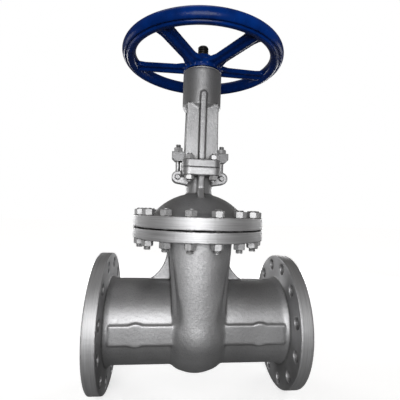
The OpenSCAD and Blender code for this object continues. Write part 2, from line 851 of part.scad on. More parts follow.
module stem_nut() {
    color(bronze) place() difference() {
        union() {
            translate([0, 0, nut_low]) cylinder(r = nut_spigot_r, h = nut_top - nut_low);
            translate([0, 0, collar_low]) cylinder(r = nut_collar_r, h = collar_t);
            translate([0, 0, collar_low]) cylinder(r = nut_shoulder_r, h = hub_low - collar_low);
        }
        translate([0, 0, nut_low - over]) cylinder(r = stem_r + run_fit, h = nut_top - nut_low + 2 * over);
        key_slot(0.05);
    }
}

// Straight spoke with a ridge under it, from the hub to the middle of the rim
module spoke() {
    run = rim_pcr - hub_d / 4;
    rise = rim_z - spoke_hub_z;
    reach = norm([run, rise]);
    half = spoke_w / 2;
    rim_end = reach - rim_r / 2;
    flat_from = hub_d / 4 + spoke_flare_run;
    flat_to = reach - rim_r - spoke_flare_run;
    translate([hub_d / 4, 0, spoke_hub_z]) rotate([0, -atan2(rise, run), 0]) {
        translate([0, 0, -spoke_t / 2]) linear_extrude(height = spoke_t) polygon([
            [0, -half - spoke_flare],
            [hub_d / 4, -half - spoke_flare],
            [flat_from, -half],
            [flat_to, -half],
            [rim_end, -half - spoke_flare],
            [rim_end, half + spoke_flare],
            [flat_to, half],
            [flat_from, half],
            [hub_d / 4, half + spoke_flare],
            [0, half + spoke_flare]
        ]);
        translate([0, -ridge_w / 2, -spoke_t / 2 - ridge_h]) cube([reach, ridge_w, ridge_h + over]);
    }
}

module handwheel() {
    color(wheel_blue) place() difference() {
        union() {
            translate([0, 0, rim_z]) rotate_extrude() translate([rim_pcr, 0]) circle(r = rim_r);
            translate([0, 0, hub_low]) cylinder(d = hub_d, h = hub_plate_h);
            translate([0, 0, hub_low]) cylinder(r = hub_boss_r, h = hub_h);
            for (i = [0 : spoke_count - 1])
                rotate([0, 0, 90 + i * 360 / spoke_count]) spoke();
        }
        translate([0, 0, hub_low - rim_d]) cylinder(r = hub_bore_r, h = hub_h + 2 * rim_d);
        key_slot(0.05);
    }
}

module handwheel_key() {
    color(steel) place() key_slot(0);
}

// Round nut with four spanner slots
module handwheel_lock_nut() {
    slot_w = 8;
    slot_depth = 5;
    color(wheel_blue) place() translate([0, 0, hub_top + lock_gap]) difference() {
        ring(lock_r, nut_spigot_r + run_fit, lock_h);
        for (a = [45 : 90 : 315]) rotate([0, 0, a])
            translate([lock_r - slot_depth, -slot_w / 2, -over]) cube([2 * slot_depth, slot_w, lock_h + 2 * over]);
    }
}

lower_ball_z = lower_bearing_low + washer_t + ball_d / 2 + 0.1;
upper_ball_z = upper_bearing_top - washer_t - ball_d / 2 - 0.1;

body();
seat_ring(1);  // seat_ring_inlet
seat_ring(0);  // seat_ring_outlet
wedge();
stem();
bonnet_gasket();
bonnet();
bonnet_studs();
bonnet_nuts(bonnet_joint_top);  // bonnet_nuts_upper
bonnet_nuts(body_joint_bottom - stud_nut_h);  // bonnet_nuts_lower
backseat_bush();
packing_ring(0);  // packing_ring_1
packing_ring(1);  // packing_ring_2
packing_ring(2);  // packing_ring_3
packing_ring(3);  // packing_ring_4
packing_ring(4);  // packing_ring_5
gland_follower();
gland_flange();
eyebolt(-1);  // eyebolt_left
eyebolt(1);  // eyebolt_right
eyebolt_pin(-1);  // eyebolt_pin_left
eyebolt_pin(1);  // eyebolt_pin_right
gland_nut(-1);  // gland_nut_left
gland_nut(1);  // gland_nut_right
yoke();
yoke_studs();
yoke_nuts(yoke_top);  // yoke_nuts_upper
yoke_nuts(bonnet_top_low - yoke_nut_h);  // yoke_nuts_lower
bearing_cap();
bearing_washer(lower_bearing_low);  // lower_bearing_washer
bearing_cage(lower_ball_z);  // lower_bearing_cage
bearing_balls(lower_ball_z);  // lower_bearing_balls
bearing_race(collar_low - washer_t, nut_spigot_r);  // lower_bearing_race
bearing_washer(upper_bearing_top - washer_t);  // upper_bearing_washer
bearing_cage(upper_ball_z);  // upper_bearing_cage
bearing_balls(upper_ball_z);  // upper_bearing_balls
bearing_race(collar_low + collar_t, nut_shoulder_r);  // upper_bearing_race
stem_nut();
handwheel();
handwheel_key();
handwheel_lock_nut();
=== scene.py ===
"""Looks of the flanged gate valve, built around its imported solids.

Castings are rounded copies of the solids, fasteners are set out by geometry nodes, and the stem gets
its thread. Everything is in metres, in the frame of the solids: +X along the flow, +Z along the stem.
"""

import math

import bmesh
import bpy
import numpy as np
from mathutils import Matrix, Vector


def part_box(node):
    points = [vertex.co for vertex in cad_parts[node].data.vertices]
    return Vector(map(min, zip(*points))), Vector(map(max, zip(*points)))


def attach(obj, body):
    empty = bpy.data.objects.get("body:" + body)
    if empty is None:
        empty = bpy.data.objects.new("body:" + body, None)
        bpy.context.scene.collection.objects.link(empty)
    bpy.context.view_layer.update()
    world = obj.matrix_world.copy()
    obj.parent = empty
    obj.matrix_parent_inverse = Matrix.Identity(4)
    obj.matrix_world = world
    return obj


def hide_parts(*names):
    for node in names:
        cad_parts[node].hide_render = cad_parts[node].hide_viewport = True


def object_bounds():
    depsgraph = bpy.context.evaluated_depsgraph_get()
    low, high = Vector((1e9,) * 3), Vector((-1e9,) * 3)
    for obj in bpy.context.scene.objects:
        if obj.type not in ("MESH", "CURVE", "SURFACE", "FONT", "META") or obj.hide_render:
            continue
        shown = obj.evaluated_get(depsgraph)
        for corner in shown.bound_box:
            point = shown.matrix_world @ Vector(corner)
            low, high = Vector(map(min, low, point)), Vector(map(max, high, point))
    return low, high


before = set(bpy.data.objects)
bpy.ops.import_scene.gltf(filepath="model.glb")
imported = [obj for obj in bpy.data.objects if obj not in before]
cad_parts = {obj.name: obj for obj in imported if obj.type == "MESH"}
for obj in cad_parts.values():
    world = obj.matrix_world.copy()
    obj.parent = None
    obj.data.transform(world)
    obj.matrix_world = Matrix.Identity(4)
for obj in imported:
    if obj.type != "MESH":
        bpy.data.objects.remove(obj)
cad_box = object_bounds()


# Places read from the frame

def centre_of(node):
    low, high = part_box(node)
    return tuple((a + b) / 2 for a, b in zip(low, high))


def low_of(node):
    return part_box(node)[0][2]


def high_of(node):
    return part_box(node)[1][2]


STEM_X = centre_of("stem_nut")[0]
FLOOR_Z = cad_box[0][2]


# Node helpers

def node_maker(tree):
    """A short call that adds a node to the tree and sets its properties."""
    def add(kind, **values):
        node = tree.nodes.new(kind)
        for key, value in values.items():
            setattr(node, key, value)
        return node

    return add


def sum_maker(tree):
    """A short call that adds a Math node to the tree. Its values are floats or sockets."""
    def calc(operation, *values):
        node = tree.nodes.new("ShaderNodeMath")
        node.operation = operation
        for socket, value in zip(node.inputs, values):
            if isinstance(value, float):
                socket.default_value = value
            else:
                tree.links.new(value, socket)
        return node.outputs[0]

    return calc


# Rays by which a finish finds out how deep in a corner it is
CORNER_SAMPLES = 16


class Shader:
    """One node material, with short calls for the nodes that the finishes share."""

    def __init__(self, name):
        self.material = bpy.data.materials.new(name)
        self.material.use_nodes = True
        tree = self.material.node_tree
        tree.nodes.clear()
        self.add = node_maker(tree)
        self.link = tree.links.new
        self.surface = self.add("ShaderNodeBsdfPrincipled")
        output = self.add("ShaderNodeOutputMaterial")
        self.link(self.surface.outputs["BSDF"], output.inputs["Surface"])
        self.place = self.add("ShaderNodeTexCoord").outputs["Object"]

    def stretched(self, scale):
        """Object coordinates scaled by different amounts along X, Y and Z."""
        node = self.add("ShaderNodeMapping")
        node.inputs["Scale"].default_value = scale
        self.link(self.place, node.inputs["Vector"])
        return node.outputs["Vector"]

    def noise(self, scale, detail, rough=0.5, where=None):
        node = self.add("ShaderNodeTexNoise")
        node.inputs["Scale"].default_value = scale
        node.inputs["Detail"].default_value = detail
        node.inputs["Roughness"].default_value = rough
        self.link(where or self.place, node.inputs["Vector"])
        return node.outputs["Fac"]

    def spread(self, value, low, high, to_low, to_high):
        """The value moved from one range to another, held inside the new one."""
        node = self.add("ShaderNodeMapRange")
        node.inputs["From Min"].default_value = low
        node.inputs["From Max"].default_value = high
        node.inputs["To Min"].default_value = to_low
        node.inputs["To Max"].default_value = to_high
        self.link(value, node.inputs["Value"])
        return node.outputs["Result"]

    def mix(self, amount, first, second):
        """A colour between two, each a tuple or a socket."""
        node = self.add("ShaderNodeMix", data_type="RGBA")
        self.link(amount, node.inputs["Factor"])
        for socket, colour in (("A", first), ("B", second)):
            target = [s for s in node.inputs if s.name == socket and s.type == "RGBA"][0]
            if isinstance(colour, tuple):
                target.default_value = (*colour, 1.0)
            else:
                self.link(colour, target)
        return [s for s in node.outputs if s.type == "RGBA"][0]

    def bump(self, height, depth, strength, under=None):
        node = self.add("ShaderNodeBump")
        node.inputs["Strength"].default_value = strength
        node.inputs["Distance"].default_value = depth
        self.link(height, node.inputs["Height"])
        if under is not None:
            self.link(under, node.inputs["Normal"])
        return node.outputs["Normal"]

    def edges(self, low, high):
        """Nought in hollows, one on outer edges."""
        geometry = self.add("ShaderNodeNewGeometry")
        return self.spread(geometry.outputs["Pointiness"], low, high, 0.0, 1.0)

    def corners(self, reach, low, high):
        """Nought deep in a corner or against a neighbour, one in the open: the mask for painted shade."""
        node = self.add("ShaderNodeAmbientOcclusion")
        node.samples = CORNER_SAMPLES
        node.inputs["Distance"].default_value = reach
        return self.spread(node.outputs["AO"], low, high, 0.0, 1.0)

    def finish(self, colour, rough, normal, **fixed):
        """The material, with sockets for what varies and numbers for what is fixed."""
        for socket, source in (("Base Color", colour), ("Roughness", rough), ("Normal", normal)):
            self.link(source, self.surface.inputs[socket])
        for socket, value in fixed.items():
            self.surface.inputs[socket.replace("_", " ")].default_value = value
        return self.material


# Finishes. Noise scales are per metre, bump depths and corner reaches in metres.

SILVER = (0.36, 0.36, 0.367)
SILVER_DARK = (0.28, 0.28, 0.285)
SILVER_LIGHT = (0.48, 0.48, 0.487)
# Colour of the dark flecks in the cast paint, and of the painted shade in hollows and corners
FLECK_AND_SHADE = (0.07, 0.068, 0.065)
FASTENER_DARK = (0.37, 0.37, 0.375)
FASTENER_LIGHT = (0.51, 0.51, 0.515)
BLUE_DARK = (0.0005, 0.013, 0.092)
BLUE_LIGHT = (0.0007, 0.026, 0.176)
# Colour of the painted shade in the wheel's corners
BLUE_PAINTED_SHADE = (0.0005, 0.004, 0.026)
GREASE_BLACK = (0.012, 0.012, 0.013)
STEEL_UNDER_GREASE = (0.11, 0.11, 0.11)
STEEL_DARK = (0.40, 0.40, 0.41)
STEEL_LIGHT = (0.54, 0.54, 0.55)
BRONZE_DARK = (0.42, 0.25, 0.08)
BRONZE_LIGHT = (0.56, 0.36, 0.13)
GRAPHITE_DARK = (0.012, 0.012, 0.013)
GRAPHITE_LIGHT = (0.035, 0.035, 0.037)

# Ranges of the edge value that count as a hollow, darkened as painted shade, and as a worn edge
HOLLOW = (0.455, 0.495)
WORN = (0.505, 0.57)

ALUMINIUM = {"Metallic": 0.82, "Specular_IOR_Level": 0.3}


# Scales a colour; the finishes use it for darker and lighter copies of one paint, which are painted shade
# and painted light
def shaded(colour, shade):
    return tuple(shade * part for part in colour)


def silver_cast_paint(name, shade):
    """Aluminium paint on a sand casting: mottled grain, dark flecks, lighter worn edges, painted shade in
    hollows and corners.
    """
    s = Shader(name)
    blotch = s.spread(s.noise(9.0, 4.0), 0.35, 0.65, 0.0, 1.0)
    colour = s.mix(blotch, shaded(SILVER_DARK, shade), shaded(SILVER, shade))
    speck = s.noise(330.0, 4.0, 0.65)
    colour = s.mix(s.spread(speck, 0.56, 0.76, 0.0, 0.45), colour, FLECK_AND_SHADE)
    # Painted shade: darker in the hollows
    colour = s.mix(s.edges(*HOLLOW), FLECK_AND_SHADE, colour)
    colour = s.mix(s.edges(*WORN), colour, shaded(SILVER_LIGHT, shade))
    # Painted shade: darker in corners and against neighbouring parts
    colour = s.mix(s.corners(0.014, 0.3, 0.8), FLECK_AND_SHADE, colour)
    lumps = s.noise(120.0, 4.0, 0.55)
    grain = s.noise(520.0, 4.0, 0.6)
    normal = s.bump(lumps, 0.0022, 0.28)
    normal = s.bump(grain, 0.0006, 0.5, normal)
    rough = s.spread(speck, 0.3, 0.7, 0.44, 0.58)
    return s.finish(colour, rough, normal, **ALUMINIUM)


def turned_paint(name, shade, scale):
    """The same paint over turned faces, with fine tool rings across the given direction, and painted shade
    in hollows and corners.
    """
    s = Shader(name)
    rings = s.noise(1.0, 3.0, 0.6, s.stretched(scale))
    tone = s.spread(rings, 0.3, 0.7, 0.0, 1.0)
    colour = s.mix(tone, shaded(SILVER_DARK, shade), shaded(SILVER_LIGHT, shade))
    # Painted shade: darker in the hollows and in corners
    colour = s.mix(s.edges(*HOLLOW), FLECK_AND_SHADE, colour)
    colour = s.mix(s.corners(0.022, 0.35, 0.85), FLECK_AND_SHADE, colour)
    normal = s.bump(rings, 0.0005, 0.5)
    rough = s.spread(rings, 0.3, 0.7, 0.48, 0.60)
    return s.finish(colour, rough, normal, **ALUMINIUM)


def fastener_paint():
    """Brighter silver on nuts and studs, darker in flecks, with painted shade in the corners."""
    s = Shader("fastener_paint")
    speck = s.noise(260.0, 3.0)
    colour = s.mix(s.spread(speck, 0.35, 0.65, 0.0, 1.0), FASTENER_DARK, FASTENER_LIGHT)
    # Painted shade: darker in corners and against the parts a fastener touches
    colour = s.mix(s.corners(0.008, 0.25, 0.75), FLECK_AND_SHADE, colour)
    rough = s.spread(speck, 0.3, 0.7, 0.50, 0.62)
    normal = s.bump(speck, 0.0003, 0.4)
    return s.finish(colour, rough, normal, Metallic=0.75, Specular_IOR_Level=0.3)


def blue_wheel_paint():
    """Thick gloss blue paint with an uneven, slightly runny surface, and painted shade in its corners."""
    s = Shader("blue_wheel_paint")
    tone = s.spread(s.noise(14.0, 3.0), 0.35, 0.65, 0.0, 1.0)
    colour = s.mix(tone, BLUE_DARK, BLUE_LIGHT)
    # Painted shade: darker in the wheel's corners
    colour = s.mix(s.corners(0.016, 0.35, 0.85), BLUE_PAINTED_SHADE, colour)
    peel = s.noise(70.0, 3.0)
    rough = s.spread(peel, 0.3, 0.7, 0.20, 0.30)
    return s.finish(colour, rough, s.bump(peel, 0.0016, 0.35), Specular_IOR_Level=0.12)


def greased_thread():
    """Black grease on the stem, with bare steel showing through in places."""
    s = Shader("greased_thread")
    smear = s.noise(90.0, 4.0, 0.6)
    bare = s.spread(smear, 0.58, 0.72, 0.0, 1.0)
    colour = s.mix(bare, GREASE_BLACK, STEEL_UNDER_GREASE)
    rough = s.spread(smear, 0.3, 0.7, 0.22, 0.45)
    return s.finish(colour, rough, s.bump(smear, 0.0005, 0.4), Metallic=0.3)


def machined_steel():
    """Bare turned steel of the seats, the wedge and the other inner pieces."""
    s = Shader("machined_steel")
    marks = s.noise(1.0, 2.0, 0.5, s.stretched((900.0, 60.0, 60.0)))
    colour = s.mix(s.spread(marks, 0.3, 0.7, 0.0, 1.0), STEEL_DARK, STEEL_LIGHT)
    rough = s.spread(marks, 0.3, 0.7, 0.26, 0.40)
    return s.finish(colour, rough, s.bump(marks, 0.0002, 0.3), Metallic=0.9)


def bronze():
    """Bronze of the stem nut and the bearing cages, lightly stained."""
    s = Shader("stem_nut_bronze")
    stain = s.noise(45.0, 4.0)
    colour = s.mix(s.spread(stain, 0.35, 0.65, 0.0, 1.0), BRONZE_DARK, BRONZE_LIGHT)
    rough = s.spread(stain, 0.3, 0.7, 0.28, 0.44)
    return s.finish(colour, rough, s.bump(stain, 0.0002, 0.3), Metallic=0.9)


def graphite():
    """Pressed graphite of the gasket and the packing."""
    s = Shader("pressed_graphite")
    flake = s.noise(350.0, 4.0, 0.6)
    colour = s.mix(s.spread(flake, 0.35, 0.65, 0.0, 1.0), GRAPHITE_DARK, GRAPHITE_LIGHT)
    rough = s.spread(flake, 0.3, 0.7, 0.5, 0.75)
    return s.finish(colour, rough, s.bump(flake, 0.0004, 0.5))


CAST = silver_cast_paint("silver_cast_paint", 1.0)
# Darker copies of the one cast paint, as painted shade: the first on the yoke and eyebolts, the second on
# the gland flange and pins
CAST_PAINTED_SHADE = silver_cast_paint("cast_paint_painted_shade", 0.84)
CAST_DEEP_PAINTED_SHADE = silver_cast_paint("cast_paint_deep_painted_shade", 0.55)
TURNED_X = turned_paint("turned_paint_flow", 1.0, (900.0, 8.0, 8.0))
# A lighter copy of the turned paint, as painted light on the faces turned about the stem
TURNED_Z_PAINTED_LIGHT = turned_paint("turned_paint_stem_painted_light", 1.18, (8.0, 8.0, 900.0))
FASTENER = fastener_paint()
BLUE = blue_wheel_paint()
GREASE = greased_thread()
STEEL = machined_steel()
BRONZE = bronze()
GRAPHITE = graphite()


# Mesh helpers

# Distances under which points of a solid and of a ring are joined up
MERGE_SOLID = 1e-5
MERGE_RING = 1e-7


def add_object(name, mesh, *materials):
    piece = bpy.data.objects.new(name, mesh)
    bpy.context.scene.collection.objects.link(piece)
    for material in materials:
        mesh.materials.append(material)
    return piece


def baked(piece):
    """The piece's mesh with its modifiers applied, and the modifiers removed."""
    graph = bpy.context.evaluated_depsgraph_get()
    mesh = bpy.data.meshes.new_from_object(piece.evaluated_get(graph))
    old = piece.data
    piece.modifiers.clear()
    piece.data = mesh
    if old.users == 0:
        bpy.data.meshes.remove(old)
    return mesh


def merged_copy(node, name):
    """A copy of a node's solid with its loose triangles joined up."""
    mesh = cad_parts[node].data.copy()
    mesh.materials.clear()
    work = bmesh.new()
    work.from_mesh(mesh)
    bmesh.ops.remove_doubles(work, verts=work.verts, dist=MERGE_SOLID)
    work.to_mesh(mesh)
    work.free()
    return add_object(name, mesh)


def mesh_from(work, name):
    """A new mesh from a bmesh, which is freed."""
    mesh = bpy.data.meshes.new(name)
    work.to_mesh(mesh)
    work.free()
    return mesh


def points_of(mesh):
    points = np.empty(len(mesh.vertices) * 3)
    mesh.vertices.foreach_get("co", points)
    return points.reshape(-1, 3)


# Share of the way to the middle of its neighbours that a point moves in one round
SOFTEN_SHARE = 0.5


def soften(mesh, rounds, weight):
    """Rounds the edges of an even mesh. weight says how much each point may move, from 0 to 1."""
    points = points_of(mesh)
    count = len(points)
    edges = np.empty(len(mesh.edges) * 2, dtype=np.int64)
    mesh.edges.foreach_get("vertices", edges)
    edges = edges.reshape(-1, 2)
    start = np.concatenate([edges[:, 0], edges[:, 1]])
    end = np.concatenate([edges[:, 1], edges[:, 0]])
    degree = np.maximum(np.bincount(start, minlength=count), 1)
    share = SOFTEN_SHARE * weight(points)
    for _ in range(rounds):
        for axis in range(3):
            near = np.bincount(start, weights=points[end, axis], minlength=count) / degree
            points[:, axis] += share * (near - points[:, axis])
    mesh.vertices.foreach_set("co", points.ravel())
    mesh.update()


# Most triangles in one casting
TRIANGLES = 150000


def casting(node, name, *rounds_and_weights, voxel, carve=None):
    """A node's solid as a casting: one even skin with rounded edges and filled corners.

    carve is a function that cuts fine detail into the skin before it is thinned.
    """
    piece = merged_copy(node, name)
    remesh = piece.modifiers.new("skin", "REMESH")
    remesh.mode = "VOXEL"
    remesh.voxel_size = voxel
    mesh = baked(piece)
    for rounds, weight in rounds_and_weights:
        soften(mesh, rounds, weight)
    if carve:
        carve(mesh)
    if 2 * len(mesh.polygons) > TRIANGLES:
        thin = piece.modifiers.new("thin", "DECIMATE")
        thin.ratio = TRIANGLES / (2 * len(mesh.polygons))
        mesh = baked(piece)
    mesh.shade_smooth()
    return piece


def paint_faces(piece, materials, choose):
    """Gives each face the material whose number choose returns for the face's centre."""
    mesh = piece.data
    for material in materials:
        mesh.materials.append(material)
    centres = np.empty(len(mesh.polygons) * 3)
    mesh.polygons.foreach_get("center", centres)
    numbers = choose(centres.reshape(-1, 3))
    mesh.polygons.foreach_set("material_index", numbers.astype(np.int32))


def lathe_rows(rows, segments):
    """Skin through rows of points, each row one ring: the open bmesh and its rings of vertices."""
    work = bmesh.new()
    rings = [[work.verts.new(point) for point in row] for row in rows]
    for lower, upper in zip(rings, rings[1:]):
        for i in range(segments):
            j = (i + 1) % segments
            work.faces.new((lower[i], lower[j], upper[j], upper[i]))
    return work, rings


def ring_mesh(name, rows, segments):
    """Mesh through rows of points, with the last row joined to the first."""
    work, _ = lathe_rows(rows + [rows[0]], segments)
    bmesh.ops.remove_doubles(work, verts=work.verts, dist=MERGE_RING)
    bmesh.ops.recalc_face_normals(work, faces=work.faces)
    return mesh_from(work, name)


def always(value):
    return lambda angle: value


def ring_points(radius_at, height_at, segments):
    """One ring of points about Z, with radius and height as functions of the angle."""
    points = []
    for i in range(segments):
        angle = 2 * math.pi * i / segments
        radius = radius_at(angle)
        points.append((radius * math.cos(angle), radius * math.sin(angle), height_at(angle)))
    return points


# Shape of a nut: end face as a share of the flats, chamfer angle, countersink as a share of the width
NUT_FACE = 0.95
NUT_CHAMFER = math.radians(30)
NUT_LIP = 0.06
NUT_SEGMENTS = 48


def hex_nut_mesh(name, across, height, hole):
    """Hexagon nut with its corners chamfered at both ends, standing on z = 0."""
    flat = across / 2
    face = flat * NUT_FACE
    lip = NUT_LIP * across

    def hex_radius(angle):
        return flat / math.cos((angle % (math.pi / 3)) - math.pi / 6)

    def drop(angle):
        return (hex_radius(angle) - face) * math.tan(NUT_CHAMFER)

    profile = (
        (always(hole), always(lip)),
        (always(hole + lip), always(0)),
        (always(face), always(0)),
        (hex_radius, drop),
        (hex_radius, lambda angle: height - drop(angle)),
        (always(face), always(height)),
        (always(hole + lip), always(height)),
        (always(hole), always(height - lip)),
    )
    rows = [ring_points(radius_at, height_at, NUT_SEGMENTS) for radius_at, height_at in profile]
    return ring_mesh(name, rows, NUT_SEGMENTS)


# Part of a thread's half turn up to which it is at full width, and the part that its flank takes
THREAD_CREST = 0.35
THREAD_FLANK = 0.3


def threaded_rod_mesh(name, radius, spans, low, high, *, depth, lead, tip, segments, per_turn):
    """Round bar from low to high with a left-hand thread cut in the given spans of height."""
    step = lead / per_turn

    def in_thread(z):
        return any(a <= z <= b for a, b in spans)

    heights = [low, low + tip]
    z = low + tip
    while z < high - tip:
        ahead = min((a for a, b in spans if a > z), default=high)
        z = z + step if in_thread(z) else min(max(ahead, z + step), high - tip)
        heights.append(min(z, high - tip))
    heights.append(high)

    def radius_at(z):
        def at(angle):
            if z == low or z == high:
                return radius - tip
            if not in_thread(z):
                return radius
            turn = (z / lead + angle / (2 * math.pi)) % 1.0
            crest = abs(turn - 0.5) * 2
            return radius - depth * min(max((crest - THREAD_CREST) / THREAD_FLANK, 0.0), 1.0)
        return at

    rows = [ring_points(radius_at(z), always(z), segments) for z in heights]
    work, rings = lathe_rows(rows, segments)
    work.faces.new(list(reversed(rings[0])))
    work.faces.new(rings[-1])
    return mesh_from(work, name)


def ring_tree():
    """Geometry nodes that set copies of a template out on a circle about a centre."""
    tree = bpy.data.node_groups.new("copies_on_circle", "GeometryNodeTree")
    inputs = (("Template", "Object"), ("Count", "Int"), ("Radius", "Float"), ("First Angle", "Float"),
              ("Centre", "Vector"), ("Loose Turn", "Float"), ("Seed", "Int"), ("Finish", "Material"))
    for name, kind in inputs:
        tree.interface.new_socket(name, in_out="INPUT", socket_type="NodeSocket" + kind)
    tree.interface.new_socket("Geometry", in_out="OUTPUT", socket_type="NodeSocketGeometry")
    add, calc, link = node_maker(tree), sum_maker(tree), tree.links.new

    given = add("NodeGroupInput").outputs
    result = add("NodeGroupOutput").inputs
    step = calc("DIVIDE", 2 * math.pi, given["Count"])
    number = add("GeometryNodeInputIndex").outputs[0]
    angle = calc("MULTIPLY_ADD", number, step, given["First Angle"])
    out = add("ShaderNodeCombineXYZ")
    link(given["Radius"], out.inputs["X"])
    spin = add("ShaderNodeVectorRotate", rotation_type="Z_AXIS")
    link(out.outputs[0], spin.inputs["Vector"])
    link(angle, spin.inputs["Angle"])
    place = add("ShaderNodeVectorMath", operation="ADD")
    link(spin.outputs[0], place.inputs[0])
    link(given["Centre"], place.inputs[1])
    points = add("GeometryNodePoints")
    link(given["Count"], points.inputs["Count"])
    link(place.outputs[0], points.inputs["Position"])
    chance = add("FunctionNodeRandomValue", data_type="FLOAT")
    link(given["Seed"], chance.inputs["Seed"])
    drawn = [socket for socket in chance.outputs if socket.type == "VALUE"][0]
    turn = add("ShaderNodeCombineXYZ")
    link(calc("MULTIPLY_ADD", drawn, given["Loose Turn"], angle), turn.inputs["Z"])
    template = add("GeometryNodeObjectInfo", transform_space="ORIGINAL")
    link(given["Template"], template.inputs["Object"])
    copies = add("GeometryNodeInstanceOnPoints")
    link(points.outputs[0], copies.inputs["Points"])
    link(template.outputs["Geometry"], copies.inputs["Instance"])
    link(turn.outputs[0], copies.inputs["Rotation"])
    real = add("GeometryNodeRealizeInstances")
    link(copies.outputs[0], real.inputs[0])
    finish = add("GeometryNodeSetMaterial")
    link(real.outputs[0], finish.inputs["Geometry"])
    link(given["Finish"], finish.inputs["Material"])
    link(finish.outputs[0], result[0])
    return tree


CIRCLE = ring_tree()


def on_circle(name, template_mesh, count, radius, first_angle, finish, loose_turn=0.0, seed=0):
    """A piece of copies on a circle about the stem axis, made by the node tree and kept as a plain mesh."""
    template = add_object(name + "_template", template_mesh)
    piece = add_object(name, bpy.data.meshes.new(name))
    setter = piece.modifiers.new("copies", "NODES")
    setter.node_group = CIRCLE
    values = {"Template": template, "Count": count, "Radius": radius, "First Angle": first_angle,
              "Centre": (STEM_X, 0.0, 0.0), "Finish": finish, "Loose Turn": loose_turn, "Seed": seed}
    for item in CIRCLE.interface.items_tree:
        if item.in_out == "INPUT":
            setter[item.identifier] = values[item.name]
    baked(piece)
    bpy.data.objects.remove(template)
    piece.data.shade_smooth()
    return piece


def joined(name, pieces):
    """One piece with the meshes of several and the materials of the first."""
    work = bmesh.new()
    for piece in pieces:
        work.from_mesh(piece.data)
    materials = list(pieces[0].data.materials)
    mesh = mesh_from(work, name)
    for piece in pieces:
        bpy.data.objects.remove(piece)
    whole = add_object(name, mesh, *materials)
    mesh.shade_smooth()
    return whole


def sharpen(piece, degrees):
    """Smooth shading with creases where faces meet at more than the given angle."""
    piece.data.set_sharp_from_angle(angle=math.radians(degrees))


def stand_for(piece, body, slot, *nodes):
    """Puts the piece on a body, in the place of the given nodes, which it hides. The slot is not used."""
    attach(piece, body)
    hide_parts(*nodes)


# Castings

def smooth_step(value, low, high):
    t = np.clip((value - low) / (high - low), 0.0, 1.0)
    return t * t * (3 - 2 * t)


def everywhere(points):
    return np.ones(len(points))


# Share of the softening that reaches the turned flanges, and the width over which it fades
CRISP = 0.16
FADE = 0.004
# Distance between the edge of the softening and the edge of the turned paint
PAINT_GAP = 0.001

# Depths of the turned flanges, with their edges
END_FLANGE = 0.038
BODY_JOINT = 0.030
BONNET_JOINT = 0.031


def crown(points):
    """1 on the outside of the gate chamber, front and back, where the flat crown runs out below."""
    # The middle of the chamber's wall in front of the stem, and how it falls back to the sides
    middle, curve, half_fade = 0.126, 3.0, 0.004
    # Ranges over which the value fades out to the sides, below and above
    side, foot, head = (0.054, 0.070), (-0.13, -0.11), (0.05, 0.11)
    beside = np.abs(points[:, 0] - STEM_X)
    out = np.hypot(points[:, 1], np.minimum(points[:, 2], 0.0))
    mid_wall = middle - curve * beside ** 2
    outside = smooth_step(out - mid_wall, -half_fade, half_fade)
    near = 1 - smooth_step(beside, *side)
    above = smooth_step(points[:, 2], *foot)
    below = 1 - smooth_step(points[:, 2], *head)
    return outside * near * above * below


def make_body():
    """Body casting, soft between the flanges and crisp on the turned ones."""
    end = STEM_X - END_FLANGE
    joint = high_of("body") - BODY_JOINT

    def weight(points):
        along = np.abs(points[:, 0] - STEM_X)
        ends = 1 - smooth_step(along, end - FADE, end)
        top = 1 - smooth_step(points[:, 2], joint - FADE, joint)
        return np.maximum(ends * top, CRISP)

    piece = casting("body", "body_casting", (8, weight), (70, crown), voxel=0.0022)

    def choose(centres):
        rim = np.abs(centres[:, 0] - STEM_X) > end + PAINT_GAP
        top = centres[:, 2] > joint + PAINT_GAP
        return np.where(rim, 1, np.where(top, 2, 0))

    # The body's joint flange takes the lighter turned paint, which is painted light
    paint_faces(piece, (CAST, TURNED_X, TURNED_Z_PAINTED_LIGHT), choose)
    stand_for(piece, "valve_body", "grey_paint", "body")


def make_bonnet():
    """Bonnet casting, soft above its turned joint flange."""
    joint = low_of("bonnet") + BONNET_JOINT

    def weight(points):
        return np.maximum(smooth_step(points[:, 2], joint, joint + FADE), CRISP)

    piece = casting("bonnet", "bonnet_casting", (8, weight), voxel=0.0018)

    def choose(centres):
        return np.where(centres[:, 2] < joint + PAINT_GAP, 1, 0)

    # The bonnet's joint flange takes the lighter turned paint, which is painted light
    paint_faces(piece, (CAST, TURNED_Z_PAINTED_LIGHT), choose)
    stand_for(piece, "valve_body", "grey_paint", "bonnet")


def make_yoke():
    """Yoke casting, soft all over."""
    piece = casting("yoke", "yoke_casting", (6, everywhere), voxel=0.0015)
    # The yoke takes the cast paint darkened as painted shade
    piece.data.materials.append(CAST_PAINTED_SHADE)
    stand_for(piece, "valve_body", "grey_paint", "yoke")


def make_gland_flange():
    """Gland flange casting, its paint darkened as painted shade."""
    piece = casting("gland_flange", "gland_flange_casting", (4, everywhere), voxel=0.001)
    piece.data.materials.append(CAST_DEEP_PAINTED_SHADE)
    stand_for(piece, "valve_body", "grey_paint", "gland_flange")


# Radius of the wheel's rim, and the groove in it: angles in degrees from the rim's inner side
RIM_RADIUS = 0.0185
CREASE_DEPTH = 0.0042
CREASE_ANGLE = 117.0
CREASE_SPREAD = 8.0
CREASE_ROUNDS = 3
# Distances from the rim's middle, in rim radii, between which a point is on its skin
RIM_SKIN = (0.75, 1.05)
TINY = 1e-6


